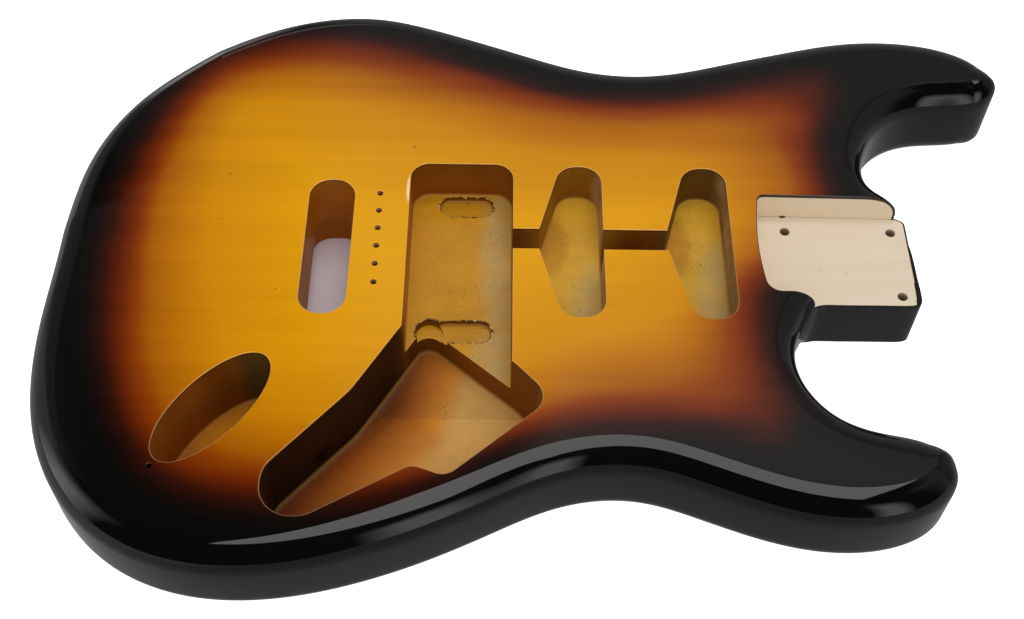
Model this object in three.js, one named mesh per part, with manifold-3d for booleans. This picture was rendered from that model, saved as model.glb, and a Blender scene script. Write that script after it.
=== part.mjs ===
// Solid electric guitar body with its finish on and nothing fitted: three boards of basswood glued edge to
// edge, cut to one outline, rounded over at its edges, contoured, routed and drilled. Millimetres.
// While it is built, x runs from the tail end towards the neck, y from the string line towards the bass side,
// and z up from the flat of the back. The finished group stands with the middle of its base at the origin.

import * as THREE from "three";
import { mergeVertices } from "three/addons/utils/BufferGeometryUtils.js";
import Module from "manifold-3d";

const wasm = await Module();
wasm.setup();

// Body
const bodyLength = 460;
const bodyWidth = 320;
const bodyThickness = 44.45;
const edgeRadius = 12.7;

// Boards, from the joints seen in the cavity floors
const boardWidth = 100;
const bassJointFromStringLine = 25;

// Neck pocket and heel
const pocketWallShare = 0.709;
const pocketLength = 75.8;
const pocketWidthAtWall = 56.6;
const pocketWidthAtMouth = 54.8;
const pocketDepth = 15.9;
const pocketCornerRadius = 7;
const heelTrebleSide = 25.4;
const heelBassSide = 26.5;
const heelEdgeRadius = 1;
const heelCornerRadius = 2.5;
const heelCornerSetBack = 0.9;
const heelCornerLength = 4.4;
const heelCornerRise = 2.4;
const neckScrewFromWall = 16.1;
const neckScrewFromHeelEnd = 8.9;
const neckScrewSpacingAcross = 38.1;
const neckScrewHole = 4.8;

// Bridge and tremolo
const tremoloScrewsFromPocketWall = 177.4;
const tremoloScrewSpacing = 10.5;
const tremoloScrewCount = 6;
const tremoloScrewHole = 2.8;
const tremoloScrewDepth = 20;
const blockHoleFromScrews = 11.8;
const blockHoleWidth = 21.4;
const blockHoleLength = 78.3;
const blockHoleCornerRadius = 10;
const blockHoleTrebleShift = 4.9;
const blockBackRelief = 3.2;

// Spring cavity in the back
const springCavityLength = 88;
const springCavityWidth = 57;
const springCavityDepth = 16;
const springCavityCornerRadius = 9;

// Pickup routs
const pickupRoutDepth = 22.9;
const bridgeRoutFromScrews = 14;
const bridgeRoutWidth = 48.8;
const bridgeRoutBassEnd = 45.4;
const bridgeRoutTrebleEnd = 75;
const bridgeRoutCornerRadius = 9;
const middleRoutFromBridgeRout = 42;
const neckRoutFromMiddleRout = 59.5;
const coilRoutLength = 89;
const coilRoutEndWidth = 19.4;
const coilRoutCornerRadius = 9.8;
const coilRoutApexWidth = 29.6;
const coilRoutApexFlat = 12.4;
const coilRoutApexRadius = 2;
const wireChannelWidth = 11.7;
const wireChannelDepth = 19;

// Slots for the bridge pickup's legs, in its rout's floor
const legSlotLength = 26;
const legSlotWidth = 12;
const legSlotCornerRadius = 5.5;
const legSlotDepth = 5;
const legSlotFromRoutEdge = 9.4;
const legSlotFromStringLine = 37.4;
const leadHoleRadius = 6.5;
const leadHoleFromSlot = 2.5;

// Control cavity
const controlDepth = 38.1;
const controlCornerRadius = 14;
const controlNeckCornerRadius = 10;
const controlApexRadius = 7;
const controlNotchRadius = 8;
const controlBendRadius = 40;

// Jack rout, and the drilled way for its leads
const jackRoutLength = 65.4;
const jackRoutWidth = 29;
const jackRoutDepth = 37;
const jackRoutAlongShare = 0.184;
const jackRoutAcrossShare = 0.291;
const jackRoutTurn = THREE.MathUtils.degToRad(52.7);
const jackPlateHole = 2.5;
const jackPlateHoleDepth = 12;
const jackPlateHoleFromRout = 3.6;
const leadWayRadius = 4;
const leadWayHeight = 16;

// Forearm contour: a shallow cone turned about an upright axis off the tail's bass corner
const forearmRadius = 90;
const forearmSlope = THREE.MathUtils.degToRad(7.5);
const forearmAxisBeyondTail = 24.5;
const forearmAxisFromStringLine = 93;

// Waist contour in the back: a drum pressed in at the bass waist, tilted to run out towards the middle
const waistDrumRadius = 200;
const waistDrumTilt = THREE.MathUtils.degToRad(16);
const waistDrumFromTail = 268;
const waistDrumRunOut = 52;

// Gloss of the lacquer
const glossRoughness = 0.1;

// How finely round stretches are cut
const stepsPerSpan = 2;
const edgeSteps = 5;
const arcSteps = 3;
const ellipseSteps = 18;
const holeSides = 12;
const leadHoleSides = 20;
const coneSides = 120;
const drumSides = 128;
const smoothingRounds = 40;

// How far cutters run past what they cut, and the edge form past the faces it rounds
const overrun = 5;
const edgeRunOut = 0.3;

const quarterTurn = Math.PI / 2;
const fullTurn = Math.PI * 2;

// Outline from the bass waist round the tail to the treble cutaway, and from the bass cutaway round the horn.
// Each pair is a share of the body's length from its tail and a share of its width from the string line.
const tailOutlineShares = [
  [0.6, 0.356], [0.539, 0.365], [0.478, 0.396], [0.417, 0.431], [0.36, 0.461], [0.313, 0.478],
  [0.265, 0.479], [0.217, 0.4645], [0.1695, 0.4355], [0.1245, 0.396], [0.083, 0.3525], [0.047, 0.303],
  [0.021, 0.242], [0.0055, 0.164], [0.001, 0.069], [0.001, -0.038], [0, -0.141], [0.006, -0.25],
  [0.0205, -0.329], [0.045, -0.397], [0.0775, -0.4505], [0.119, -0.49], [0.167, -0.5125], [0.215, -0.5185],
  [0.269, -0.511], [0.326, -0.4905], [0.383, -0.46], [0.439, -0.422], [0.4885, -0.388], [0.539, -0.3685],
  [0.585, -0.37], [0.6325, -0.391], [0.685, -0.419], [0.739, -0.438], [0.787, -0.44], [0.8255, -0.428],
  [0.854, -0.404], [0.867, -0.3725], [0.8635, -0.3425], [0.841, -0.317], [0.802, -0.303], [0.7685, -0.2825],
  [0.7455, -0.246], [0.7345, -0.2], [0.7365, -0.16], [0.747, -0.124],
];
const hornOutlineShares = [
  [0.8375, 0.1245], [0.832, 0.157], [0.8375, 0.196], [0.852, 0.2395], [0.875, 0.273], [0.906, 0.2935],
  [0.9395, 0.2995], [0.969, 0.3045], [0.988, 0.3165], [0.997, 0.3365], [0.9945, 0.363], [0.98, 0.394],
  [0.9535, 0.419], [0.9175, 0.435], [0.874, 0.441], [0.82, 0.434], [0.761, 0.413], [0.7, 0.388],
  [0.648, 0.3665],
];

// Outline of the heel, between the two: a share of the pocket's length from its wall, and a share of the
// heel's treble side, towards the bass.
const heelOutlineShares = [
  [0.297, -1.205], [0.342, -1.047], [0.394, -1.004], [0.46, -1], [0.66, -1], [0.87, -1], [0.94, -0.99],
  [0.984, -0.937], [1, -0.78], [0.998, -0.4], [0.996, 0], [0.985, 0.45], [0.947, 0.87], [0.885, 1.25],
];

// Where the heel's square edge fades into the rounded one: between two shares of the pocket's length at the
// treble cutaway, and between two shares of the heel's treble side in the bass one. The horn past the treble
// cutaway has none.
const heelFadeAlongShares = [0.26, 0.36];
const heelFadeAcrossShares = [1.1, 1.6];
const heelCutawayShare = -1.3;

// The edge is rounded by less than the outline's own radius where that turns outwards tightly, and by no more
// than so much extra for each length along the outline from there.
const turnRadiusShare = 0.75;
const edgeEaseShare = 2;

// Corners of the control cavity, as shares of the body's length from the tremolo screws and of its width
// from the string line, each with its radius.
const controlCornerShares = [
  [0.05, -0.108, controlApexRadius],
  [-0.0135, -0.264, controlBendRadius],
  [-0.0865, -0.384, controlCornerRadius],
  [-0.0865, -0.4515, controlCornerRadius],
  [-0.045, -0.4515, controlCornerRadius],
  [0.0465, -0.376, controlNotchRadius],
  [0.078, -0.3925, controlNotchRadius],
  [0.1745, -0.2715, controlNeckCornerRadius],
  [0.141, -0.219, controlBendRadius],
];

// Closed smooth curve through the points, as Bezier spans. The slope at each point is the one that leaves no
// break in curvature there, reached by averaging over and over with its neighbours.
function smoothLoop(points) {
  const count = points.length;
  const at = (list, index) => list[(index + count) % count];
  const chords = points.map((point, index) => at(points, index + 1).clone().sub(point));
  const lengths = chords.map((chord) => chord.length());
  const directions = chords.map((chord) => chord.clone().normalize());
  const slopes = directions.map((direction) => direction.clone());
  for (let round = 0; round < smoothingRounds; round += 1) {
    slopes.forEach((slope, index) => {
      const before = at(lengths, index - 1);
      const after = lengths[index];
      slope.set(0, 0);
      slope.addScaledVector(at(directions, index - 1), 3 * after);
      slope.addScaledVector(directions[index], 3 * before);
      slope.addScaledVector(at(slopes, index - 1), -after);
      slope.addScaledVector(at(slopes, index + 1), -before);
      slope.divideScalar(2 * (before + after));
    });
  }
  return points.map((point, index) => {
    const end = at(points, index + 1);
    const reach = lengths[index] / 3;
    const leaving = point.clone().addScaledVector(slopes[index], reach);
    const arriving = end.clone().addScaledVector(at(slopes, index + 1), -reach);
    return new THREE.CubicBezierCurve(point, leaving, arriving, end);
  });
}

// Closed loop of straight sides joined by arcs. Each corner is its x, its y and its radius.
function roundedLoop(corners) {
  const shape = new THREE.Shape();
  corners.forEach(([x, y, radius], index) => {
    const [xBefore, yBefore] = corners.at(index - 1);
    const [xAfter, yAfter] = corners[(index + 1) % corners.length];
    const corner = new THREE.Vector2(x, y);
    const back = new THREE.Vector2(xBefore, yBefore).sub(corner).normalize();
    const ahead = new THREE.Vector2(xAfter, yAfter).sub(corner).normalize();
    const halfAngle = Math.acos(back.dot(ahead)) / 2;
    const reach = radius / Math.tan(halfAngle);
    const middle = back.clone().add(ahead).setLength(radius / Math.sin(halfAngle)).add(corner);
    const start = corner.clone().addScaledVector(back, reach).sub(middle);
    const end = corner.clone().addScaledVector(ahead, reach).sub(middle);
    const clockwise = back.cross(ahead) > 0;
    shape.absarc(middle.x, middle.y, radius, start.angle(), end.angle(), clockwise);
  });
  return shape;
}

// Solid from a closed geometry, with its shared vertices merged.
function solidFrom(geometry) {
  const bare = geometry.clone();
  bare.deleteAttribute("normal");
  bare.deleteAttribute("uv");
  const welded = mergeVertices(bare);
  return new wasm.Manifold(new wasm.Mesh({
    numProp: 3,
    vertProperties: new Float32Array(welded.attributes.position.array),
    triVerts: new Uint32Array(welded.index.array),
  }));
}

// Upright solid of a shape, from one height to another.
function prism(shape, bottom, top, steps = arcSteps) {
  const settings = { depth: top - bottom, bevelEnabled: false, curveSegments: steps };
  return solidFrom(new THREE.ExtrudeGeometry(shape, settings).translate(0, 0, bottom));
}

// Upright round solid, from one height to another.
function post(x, y, radius, bottom, top, sides) {
  const geometry = new THREE.CylinderGeometry(radius, radius, top - bottom, sides);
  return solidFrom(geometry.rotateX(quarterTurn).translate(x, y, (bottom + top) / 2));
}

// Solid between rings of equally many points, one above the other. A flat face closes each end, divided as
// the plan is, which has a point for each point of a ring.
function ringStack(rings, plan) {
  const count = plan.length;
  const faces = [];
  for (let level = 1; level < rings.length; level += 1) {
    const lower = (level - 1) * count;
    const upper = level * count;
    for (let index = 0; index < count; index += 1) {
      const next = (index + 1) % count;
      faces.push([lower + index, lower + next, upper + next]);
      faces.push([lower + index, upper + next, upper + index]);
    }
  }
  const lidStart = (rings.length - 1) * count;
  THREE.ShapeUtils.triangulateShape(plan, []).forEach((face) => {
    faces.push(face.toReversed());
    faces.push(face.map((index) => index + lidStart));
  });
  const geometry = new THREE.BufferGeometry().setFromPoints(rings.flat());
  geometry.setIndex(faces.flat());
  return solidFrom(geometry);
}

// Places along the body that the rest is laid out from
const pocketWall = bodyLength * pocketWallShare;
const heelEnd = pocketWall + pocketLength;
const pocketFloor = bodyThickness - pocketDepth;
const tremoloScrews = pocketWall - tremoloScrewsFromPocketWall;
const bridgeRoutStart = tremoloScrews + bridgeRoutFromScrews;
const bridgeRoutEnd = bridgeRoutStart + bridgeRoutWidth;
const middleRoutEnd = bridgeRoutEnd + middleRoutFromBridgeRout;
const neckRoutEnd = middleRoutEnd + neckRoutFromMiddleRout;
const pickupFloor = bodyThickness - pickupRoutDepth;
const controlFloor = bodyThickness - controlDepth;
const aboveTop = bodyThickness + overrun;
const belowBack = -overrun;

// Outline of the whole body, as points
const onBody = ([along, across]) => new THREE.Vector2(along * bodyLength, across * bodyWidth);
const onHeel = ([along, across]) =>
  new THREE.Vector2(pocketWall + along * pocketLength, across * heelTrebleSide);
const outlineMarks = [
  ...tailOutlineShares.map(onBody),
  ...heelOutlineShares.map(onHeel),
  ...hornOutlineShares.map(onBody),
];
const outline = smoothLoop(outlineMarks).flatMap((span) => span.getPoints(stepsPerSpan).slice(0, -1));
const outlineBox = new THREE.Box2().setFromPoints(outline);

// Height of the top and of the back at a point, with the contours
function topHeight(x, y) {
  const fromAxis = Math.hypot(x + forearmAxisBeyondTail, y - forearmAxisFromStringLine);
  const inside = Math.max(forearmRadius - fromAxis, 0);
  return bodyThickness - inside * Math.tan(forearmSlope);
}

function backHeight(x, y) {
  const sideways = Math.min(Math.abs(x - waistDrumFromTail), waistDrumRadius);
  const drop = waistDrumRadius - Math.sqrt(waistDrumRadius ** 2 - sideways ** 2);
  const rise = (y - waistDrumRunOut) * Math.tan(waistDrumTilt);
  return Math.max(rise - drop / Math.cos(waistDrumTilt), 0);
}

// How square the back's edge is at a point: 1 along the heel's treble side and end, 0 elsewhere
function heelSquareness(point) {
  const along = (point.x - pocketWall) / pocketLength;
  const across = point.y / heelTrebleSide;
  if (across < heelCutawayShare) {
    return 0;
  }
  const pastCutaway = THREE.MathUtils.smoothstep(along, ...heelFadeAlongShares);
  return pastCutaway * (1 - THREE.MathUtils.smoothstep(across, ...heelFadeAcrossShares));
}

// Radius of the circle through an outline point and its neighbours, where the outline turns outwards there
function outwardTurnRadius(index) {
  const before = outline.at(index - 1);
  const here = outline[index];
  const after = outline[(index + 1) % outline.length];
  const arriving = here.clone().sub(before);
  const leaving = after.clone().sub(here);
  const turn = arriving.cross(leaving);
  const sides = arriving.length() * leaving.length() * after.distanceTo(before);
  return turn > 0 ? sides / (2 * turn) : Infinity;
}

// Edge radius at each outline point, from the radius wanted at each
function easedRadii(wanted) {
  const radii = wanted.map((radius, index) => Math.min(radius, turnRadiusShare * outwardTurnRadius(index)));
  const ease = (index, neighbour) => {
    const gap = outline[index].distanceTo(outline[neighbour]);
    radii[index] = Math.min(radii[index], radii[neighbour] + edgeEaseShare * gap);
  };
  const count = outline.length;
  for (let step = 0; step < 2 * count; step += 1) {
    ease((step + 1) % count, step % count);
  }
  for (let step = 2 * count; step > 0; step -= 1) {
    ease((step - 1) % count, step % count);
  }
  return radii;
}

const outward = outline.map((point, index) => {
  const tangent = outline[(index + 1) % outline.length].clone().sub(outline.at(index - 1));
  return new THREE.Vector2(tangent.y, -tangent.x).normalize();
});

// Ring set in from the outline by a depth at each point, at a height worked out from its place
function setInRing(depths, height) {
  return outline.map((point, index) => {
    const place = point.clone().addScaledVector(outward[index], -depths[index]);
    return new THREE.Vector3(place.x, place.y, height(place.x, place.y, index));
  });
}

// The body's rounded edge all round: a stack of rings from below the back to above the top. Each quarter
// round ends just short of the face, runs out through it, and goes on upright.
function roundedEdge() {
  const topRadii = easedRadii(outline.map(() => edgeRadius));
  const backRadii = easedRadii(outline.map((point) =>
    THREE.MathUtils.lerp(edgeRadius, heelEdgeRadius, heelSquareness(point))));
  const inAt = (radii, angle) => radii.map((radius) => radius * (1 - Math.cos(angle)));
  const rings = [];
  rings.push(setInRing(backRadii, () => belowBack));
  rings.push(setInRing(backRadii, (x, y) => backHeight(x, y) - edgeRunOut));
  for (let step = edgeSteps - 1; step >= 0; step -= 1) {
    const angle = quarterTurn * step / edgeSteps;
    const lift = (x, y, index) => backHeight(x, y) + backRadii[index] * (1 - Math.sin(angle));
    rings.push(setInRing(inAt(backRadii, angle), lift));
  }
  for (let step = 0; step < edgeSteps; step += 1) {
    const angle = quarterTurn * step / edgeSteps;
    const lift = (x, y, index) => topHeight(x, y) - topRadii[index] * (1 - Math.sin(angle));
    rings.push(setInRing(inAt(topRadii, angle), lift));
  }
  rings.push(setInRing(topRadii, (x, y) => topHeight(x, y) + edgeRunOut));
  rings.push(setInRing(topRadii, () => aboveTop));
  return ringStack(rings, outline);
}

// Square bass corner of the heel, which stands out of the rounded outline below the pocket's floor
function heelCorner() {
  const inside = pocketWall + pocketLength / 2;
  const end = heelEnd - heelCornerSetBack;
  const shape = roundedLoop([
    [inside, heelBassSide + heelCornerRise, heelCornerRadius],
    [inside, -heelTrebleSide / 2, heelCornerRadius],
    [end, -heelTrebleSide / 2, heelCornerRadius],
    [end, heelBassSide, heelCornerRadius],
    [end - heelCornerLength, heelBassSide + heelCornerRise, heelCornerRadius],
  ]);
  return prism(shape, 0, pocketFloor);
}

// Block over a stretch across the body, from one height to another
function slab(trebleSide, bassSide, bottom, top) {
  const length = bodyLength + 2 * overrun;
  const geometry = new THREE.BoxGeometry(length, bassSide - trebleSide, top - bottom);
  geometry.translate(bodyLength / 2, (bassSide + trebleSide) / 2, (top + bottom) / 2);
  return solidFrom(geometry);
}

// Forearm contour: a shallow cone, point down
function forearmCut() {
  const depth = forearmRadius * Math.tan(forearmSlope);
  const brim = forearmRadius + overrun / Math.tan(forearmSlope);
  const geometry = new THREE.CylinderGeometry(brim, 0, depth + overrun, coneSides);
  geometry.rotateX(quarterTurn);
  const middle = bodyThickness + (overrun - depth) / 2;
  return solidFrom(geometry.translate(-forearmAxisBeyondTail, forearmAxisFromStringLine, middle));
}

// Waist contour: a drum lying along y, tilted up towards the bass side
function waistCut() {
  const geometry = new THREE.CylinderGeometry(waistDrumRadius, waistDrumRadius, 2 * bodyWidth, drumSides);
  geometry.rotateX(waistDrumTilt);
  const axisAcross = waistDrumRunOut + waistDrumRadius * Math.sin(waistDrumTilt);
  const axisHeight = -waistDrumRadius * Math.cos(waistDrumTilt);
  return solidFrom(geometry.translate(waistDrumFromTail, axisAcross, axisHeight));
}

// Neck pocket, open at the heel's end, with its screw holes
function neckPocket() {
  const taper = (pocketWidthAtWall - pocketWidthAtMouth) / 2 / pocketLength;
  const cutEnd = pocketLength + overrun;
  const wallHalf = pocketWidthAtWall / 2;
  const endHalf = wallHalf - taper * cutEnd;
  const shape = roundedLoop([
    [pocketWall, wallHalf, pocketCornerRadius],
    [pocketWall, -wallHalf, pocketCornerRadius],
    [pocketWall + cutEnd, -endHalf, overrun / 2],
    [pocketWall + cutEnd, endHalf, overrun / 2],
  ]);
  const cuts = [prism(shape, pocketFloor, aboveTop)];
  for (const along of [neckScrewFromWall, pocketLength - neckScrewFromHeelEnd]) {
    for (const across of [-neckScrewSpacingAcross / 2, neckScrewSpacingAcross / 2]) {
      cuts.push(post(pocketWall + along, across, neckScrewHole / 2, belowBack, aboveTop, holeSides));
    }
  }
  return cuts;
}

// Tremolo: its row of screw holes, the block's hole through the body, and the spring cavity in the back
function tremoloCuts() {
  const cuts = [];
  const rowStart = -tremoloScrewSpacing * (tremoloScrewCount - 1) / 2;
  for (let index = 0; index < tremoloScrewCount; index += 1) {
    const across = rowStart + index * tremoloScrewSpacing;
    const bottom = bodyThickness - tremoloScrewDepth;
    cuts.push(post(tremoloScrews, across, tremoloScrewHole / 2, bottom, aboveTop, holeSides));
  }
  const neckSide = tremoloScrews - blockHoleFromScrews;
  const tailSide = neckSide - blockHoleWidth;
  const bassEnd = blockHoleLength / 2 - blockHoleTrebleShift;
  const trebleEnd = bassEnd - blockHoleLength;
  const block = (start) => roundedLoop([
    [neckSide, bassEnd, blockHoleCornerRadius],
    [start, bassEnd, blockHoleCornerRadius],
    [start, trebleEnd, blockHoleCornerRadius],
    [neckSide, trebleEnd, blockHoleCornerRadius],
  ]);
  cuts.push(prism(block(tailSide), belowBack, aboveTop));
  cuts.push(prism(block(tailSide - blockBackRelief), belowBack, springCavityDepth));
  const springEnd = neckSide + springCavityLength;
  const springStart = neckSide - blockHoleWidth / 2;
  const hiddenRadius = springCavityCornerRadius / 2;
  const springs = roundedLoop([
    [springEnd, springCavityWidth / 2, springCavityCornerRadius],
    [springStart, springCavityWidth / 2, hiddenRadius],
    [springStart, -springCavityWidth / 2, hiddenRadius],
    [springEnd, -springCavityWidth / 2, springCavityCornerRadius],
  ]);
  cuts.push(prism(springs, belowBack, springCavityDepth));
  return cuts;
}

// Pickup routs, with the channel for their wires and the slots for the bridge pickup's legs
function pickupCuts() {
  const cuts = [];
  const bridge = roundedLoop([
    [bridgeRoutEnd, bridgeRoutBassEnd, bridgeRoutCornerRadius],
    [bridgeRoutStart, bridgeRoutBassEnd, bridgeRoutCornerRadius],
    [bridgeRoutStart, -bridgeRoutTrebleEnd, bridgeRoutCornerRadius],
    [bridgeRoutEnd, -bridgeRoutTrebleEnd, bridgeRoutCornerRadius],
  ]);
  cuts.push(prism(bridge, pickupFloor, aboveTop));
  for (const routEnd of [middleRoutEnd, neckRoutEnd]) {
    const shape = roundedLoop([
      [routEnd, coilRoutLength / 2, coilRoutCornerRadius],
      [routEnd - coilRoutEndWidth, coilRoutLength / 2, coilRoutCornerRadius],
      [routEnd - coilRoutApexWidth, coilRoutApexFlat / 2, coilRoutApexRadius],
      [routEnd - coilRoutApexWidth, -coilRoutApexFlat / 2, coilRoutApexRadius],
      [routEnd - coilRoutEndWidth, -coilRoutLength / 2, coilRoutCornerRadius],
      [routEnd, -coilRoutLength / 2, coilRoutCornerRadius],
    ]);
    cuts.push(prism(shape, pickupFloor, aboveTop));
  }
  const channelStart = bridgeRoutEnd - overrun;
  const channelEnd = neckRoutEnd - coilRoutApexWidth + overrun;
  const channelHeight = wireChannelDepth + overrun;
  const channel = new THREE.BoxGeometry(channelEnd - channelStart, wireChannelWidth, channelHeight);
  const channelMiddle = aboveTop - channelHeight / 2;
  cuts.push(solidFrom(channel.translate((channelStart + channelEnd) / 2, 0, channelMiddle)));
  const slotEnd = bridgeRoutEnd - legSlotFromRoutEdge;
  const slotStart = slotEnd - legSlotLength;
  for (const across of [-legSlotFromStringLine, legSlotFromStringLine]) {
    const slot = roundedLoop([
      [slotEnd, across + legSlotWidth / 2, legSlotCornerRadius],
      [slotStart, across + legSlotWidth / 2, legSlotCornerRadius],
      [slotStart, across - legSlotWidth / 2, legSlotCornerRadius],
      [slotEnd, across - legSlotWidth / 2, legSlotCornerRadius],
    ]);
    cuts.push(prism(slot, pickupFloor - legSlotDepth, aboveTop - overrun - legSlotDepth));
  }
  const holeAlong = slotStart - leadHoleFromSlot;
  const holeTop = bodyThickness - legSlotDepth;
  cuts.push(post(holeAlong, -legSlotFromStringLine, leadHoleRadius, controlFloor, holeTop, leadHoleSides));
  return cuts;
}

// Control cavity and jack rout, joined by a drilled way for the jack's leads
function controlCuts() {
  const corners = controlCornerShares.map(([along, across, radius]) =>
    [tremoloScrews + along * bodyLength, across * bodyWidth, radius]);
  const cuts = [prism(roundedLoop(corners), controlFloor, aboveTop)];
  const jack = onBody([jackRoutAlongShare, -jackRoutAcrossShare]);
  const ellipse = new THREE.Shape();
  ellipse.absellipse(jack.x, jack.y, jackRoutLength / 2, jackRoutWidth / 2, 0, fullTurn, false, jackRoutTurn);
  cuts.push(prism(ellipse, bodyThickness - jackRoutDepth, aboveTop, ellipseSteps));
  const holeReach = jackRoutLength / 2 + jackPlateHoleFromRout;
  const holeAlong = jack.x - holeReach * Math.cos(jackRoutTurn);
  const holeAcross = jack.y - holeReach * Math.sin(jackRoutTurn);
  const holeBottom = bodyThickness - jackPlateHoleDepth;
  cuts.push(post(holeAlong, holeAcross, jackPlateHole / 2, holeBottom, aboveTop, holeSides));
  const total = corners.reduce((sum, [x, y]) => sum.add(new THREE.Vector2(x, y)), new THREE.Vector2());
  const way = total.divideScalar(corners.length).sub(jack);
  const drill = new THREE.CylinderGeometry(leadWayRadius, leadWayRadius, way.length(), holeSides);
  drill.rotateZ(way.angle() - quarterTurn);
  cuts.push(solidFrom(drill.translate(jack.x + way.x / 2, jack.y + way.y / 2, leadWayHeight)));
  return cuts;
}

// Mesh of one board, in its finish
function boardMesh(name, solid, finish) {
  const { vertProperties, triVerts } = solid.getMesh();
  const geometry = new THREE.BufferGeometry();
  geometry.setAttribute("position", new THREE.BufferAttribute(vertProperties, 3));
  geometry.setIndex(new THREE.BufferAttribute(triVerts, 1));
  const mesh = new THREE.Mesh(geometry, new THREE.MeshStandardMaterial(finish));
  mesh.name = name;
  return mesh;
}

const blank = roundedEdge().intersect(slab(-bodyWidth, bodyWidth, 0, bodyThickness)).add(heelCorner());
const cuts = [forearmCut(), waistCut(), ...neckPocket(), ...tremoloCuts(), ...pickupCuts(), ...controlCuts()];
const body = cuts.reduce((solid, cut) => solid.subtract(cut), blank);

const bassJoint = bassJointFromStringLine;
const trebleJoint = bassJoint - boardWidth;
const boards = [
  { name: "treble_board", from: -bodyWidth, to: trebleJoint, color: "#5a2208" },
  { name: "centre_board", from: trebleJoint, to: bassJoint, color: "#d39322" },
  { name: "bass_board", from: bassJoint, to: bodyWidth, color: "#8f4a10" },
];

const group = new THREE.Group();
for (const { name, from, to, color } of boards) {
  const board = body.intersect(slab(from, to, belowBack, aboveTop));
  group.add(boardMesh(name, board, { color, roughness: glossRoughness, metalness: 0 }));
}
const middle = outlineBox.getCenter(new THREE.Vector2());
group.position.set(-middle.x, -middle.y, 0);

export default group;
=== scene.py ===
# %% [markdown]
# # Electric guitar body, dressed
# Three glued boards of one solid body, in a three-tone burst under clear gloss. The shapes are worked out in
# millimetres with x from the tail towards the neck, y from the string line towards the bass side and z up from
# the back, as the CAD does, and are put in the row frame, in metres, at the end.

# %%
import math
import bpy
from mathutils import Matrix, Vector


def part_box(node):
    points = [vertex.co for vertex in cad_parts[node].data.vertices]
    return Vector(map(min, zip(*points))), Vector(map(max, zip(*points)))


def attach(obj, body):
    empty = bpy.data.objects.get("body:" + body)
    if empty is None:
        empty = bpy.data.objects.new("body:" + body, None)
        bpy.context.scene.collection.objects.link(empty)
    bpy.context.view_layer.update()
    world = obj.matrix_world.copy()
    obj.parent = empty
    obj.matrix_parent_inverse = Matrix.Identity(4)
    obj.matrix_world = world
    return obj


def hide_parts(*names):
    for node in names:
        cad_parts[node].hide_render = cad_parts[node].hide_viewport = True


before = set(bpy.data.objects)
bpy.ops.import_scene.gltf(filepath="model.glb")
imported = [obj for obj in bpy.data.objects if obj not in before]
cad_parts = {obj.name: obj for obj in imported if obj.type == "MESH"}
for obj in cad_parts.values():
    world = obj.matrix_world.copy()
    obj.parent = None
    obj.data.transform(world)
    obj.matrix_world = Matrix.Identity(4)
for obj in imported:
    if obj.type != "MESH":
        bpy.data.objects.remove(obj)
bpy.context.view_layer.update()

from types import SimpleNamespace

import bpy
import numpy as np
from mathutils import Matrix, Vector
from mathutils.geometry import delaunay_2d_cdt

# %% [markdown]
# ## Camera
# The photograph's fitted pinhole camera: a place, a direction, a roll and a focal length.

# %%
def placed(name, data):
    """New object with that data, linked to the scene."""
    made = bpy.data.objects.new(name, data)
    bpy.context.scene.collection.objects.link(made)
    return made


def aim(azimuth, elevation, roll):
    """Rotation of a camera whose view direction is (sin a cos e, cos a cos e, -sin e), rolled about it."""
    a, e = math.radians(azimuth), math.radians(elevation)
    direction = Vector((math.sin(a) * math.cos(e), math.cos(a) * math.cos(e), -math.sin(e)))
    upright = direction.to_track_quat("-Z", "Y").to_matrix()
    return (upright @ Matrix.Rotation(math.radians(roll), 3, "Z")).to_4x4()


camera_data = bpy.data.cameras.new("camera")
camera_data.lens, camera_data.sensor_width = 49.26, 36.0
camera_data.clip_start, camera_data.clip_end = 0.01, 50
camera = placed("camera", camera_data)
camera.matrix_world = Matrix.Translation((-0.02381, -0.40202, 0.54830)) @ aim(0.910, 53.917, 1.500)
bpy.context.scene.camera = camera
print("camera at", [round(v, 4) for v in camera.location])

# %% [markdown]
# ## Sizes
# The same named sizes as the CAD's, in millimetres. `middle` is the row frame's origin in the tail frame, and
# `overrun` is how far cutters reach past the faces that they open.

# %%
body_length, body_width, thickness = 460.0, 320.0, 44.45
edge_radius = 12.7
pocket_wall = 0.709 * body_length
pocket_length, pocket_depth = 75.8, 15.9
pocket_floor, wall_half = thickness - pocket_depth, 28.3
heel_treble_side, heel_edge_radius = 25.4, 1.0
heel_end = pocket_wall + pocket_length
screws_x = pocket_wall - 177.4
bridge_start = screws_x + 14
bridge_end = bridge_start + 48.8
middle_end = bridge_end + 42
neck_end = middle_end + 59.5
pickup_floor = thickness - 22.9
control_floor = thickness - 38.1
slot_length, slot_width, slot_across, slot_end = 26, 12, 37.4, bridge_end - 9.4
slot_start = slot_end - slot_length
lead_hole, lead_radius = (slot_start - 2.5, -slot_across), 6.5
forearm_axis, forearm_radius, forearm_slope = (-24.5, 93.0), 90.0, math.tan(math.radians(7.5))
drum_radius, drum_tilt, drum_x, drum_run_out = 200.0, math.radians(16), 268.0, 52.0
jack = np.array([0.184 * body_length, -0.291 * body_width])
glue_lines = (-75, 25)
middle = np.array([229.3436, -6.0646])
overrun = 5
print("heel end", heel_end, "screws", screws_x, "bridge rout", bridge_start, bridge_end)

# %% [markdown]
# ## Outline
# Marks in thousandths of the length and width, and round the heel as shares of the pocket's length and the
# heel's half width, joined by one smooth closed curve.

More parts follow.
